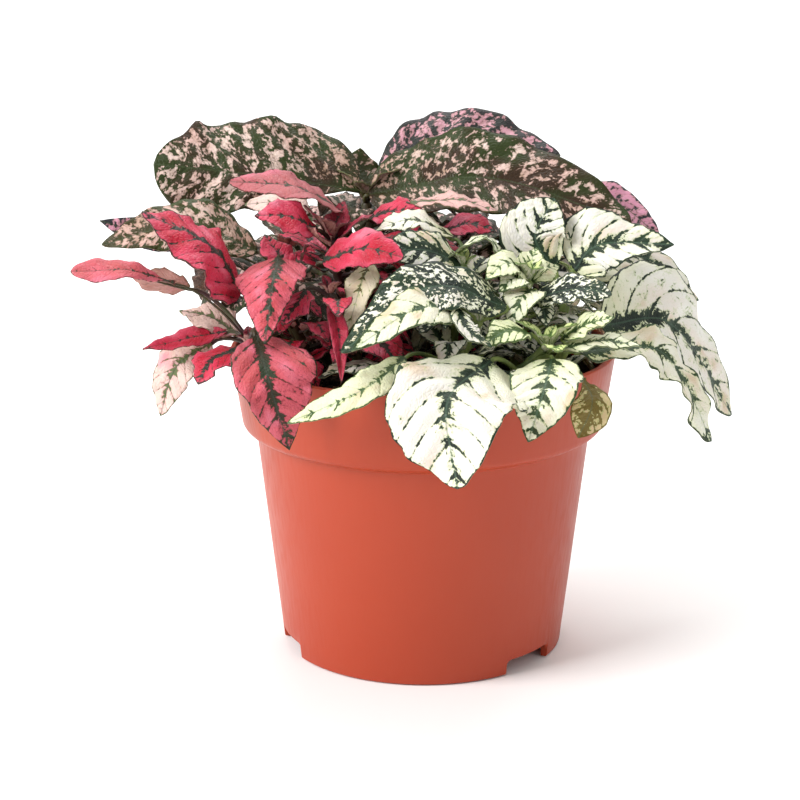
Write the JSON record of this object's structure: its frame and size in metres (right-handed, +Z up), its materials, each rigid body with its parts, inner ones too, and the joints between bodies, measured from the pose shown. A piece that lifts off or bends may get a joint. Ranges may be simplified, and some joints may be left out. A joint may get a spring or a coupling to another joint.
{
  "type": "potted polka dot plant",
  "caption": "Mixed polka dot plant with pink-splashed, red and white leaves, growing in a tapered plastic nursery pot with a wide rim band and a notched foot.",
  "frame": {"origin": "on the ground under the middle of the pot, which is the bottom centre of the whole plant's box", "axes": "+X to the right seen from the front, -Y to the front, +Z up along the pot's axis"},
  "size_m": [0.2035, 0.1656, 0.1624],
  "materials": {
    "pot_plastic": "satin",
    "potting_mix": "rough",
    "pink_leaf": "satin",
    "red_leaf": "satin",
    "white_leaf": "satin"
  },
  "bodies": {
    "root": {"pot": "pot_plastic", "potting_mix": "potting_mix", "pink_stem_1": "pink_leaf", "pink_stem_2": "pink_leaf", "pink_stem_3": "pink_leaf", "pink_stem_4": "pink_leaf", "pink_stem_5": "pink_leaf", "pink_stem_6": "pink_leaf", "red_stem_1": "red_leaf", "red_stem_2": "red_leaf", "red_stem_3": "red_leaf", "red_stem_4": "red_leaf", "red_stem_5": "red_leaf", "white_stem_1": "white_leaf", "white_stem_2": "white_leaf", "white_stem_3": "white_leaf", "white_stem_4": "white_leaf", "white_stem_5": "white_leaf", "white_stem_6": "white_leaf", "white_stem_7": "white_leaf"}
  },
  "joints": []
}
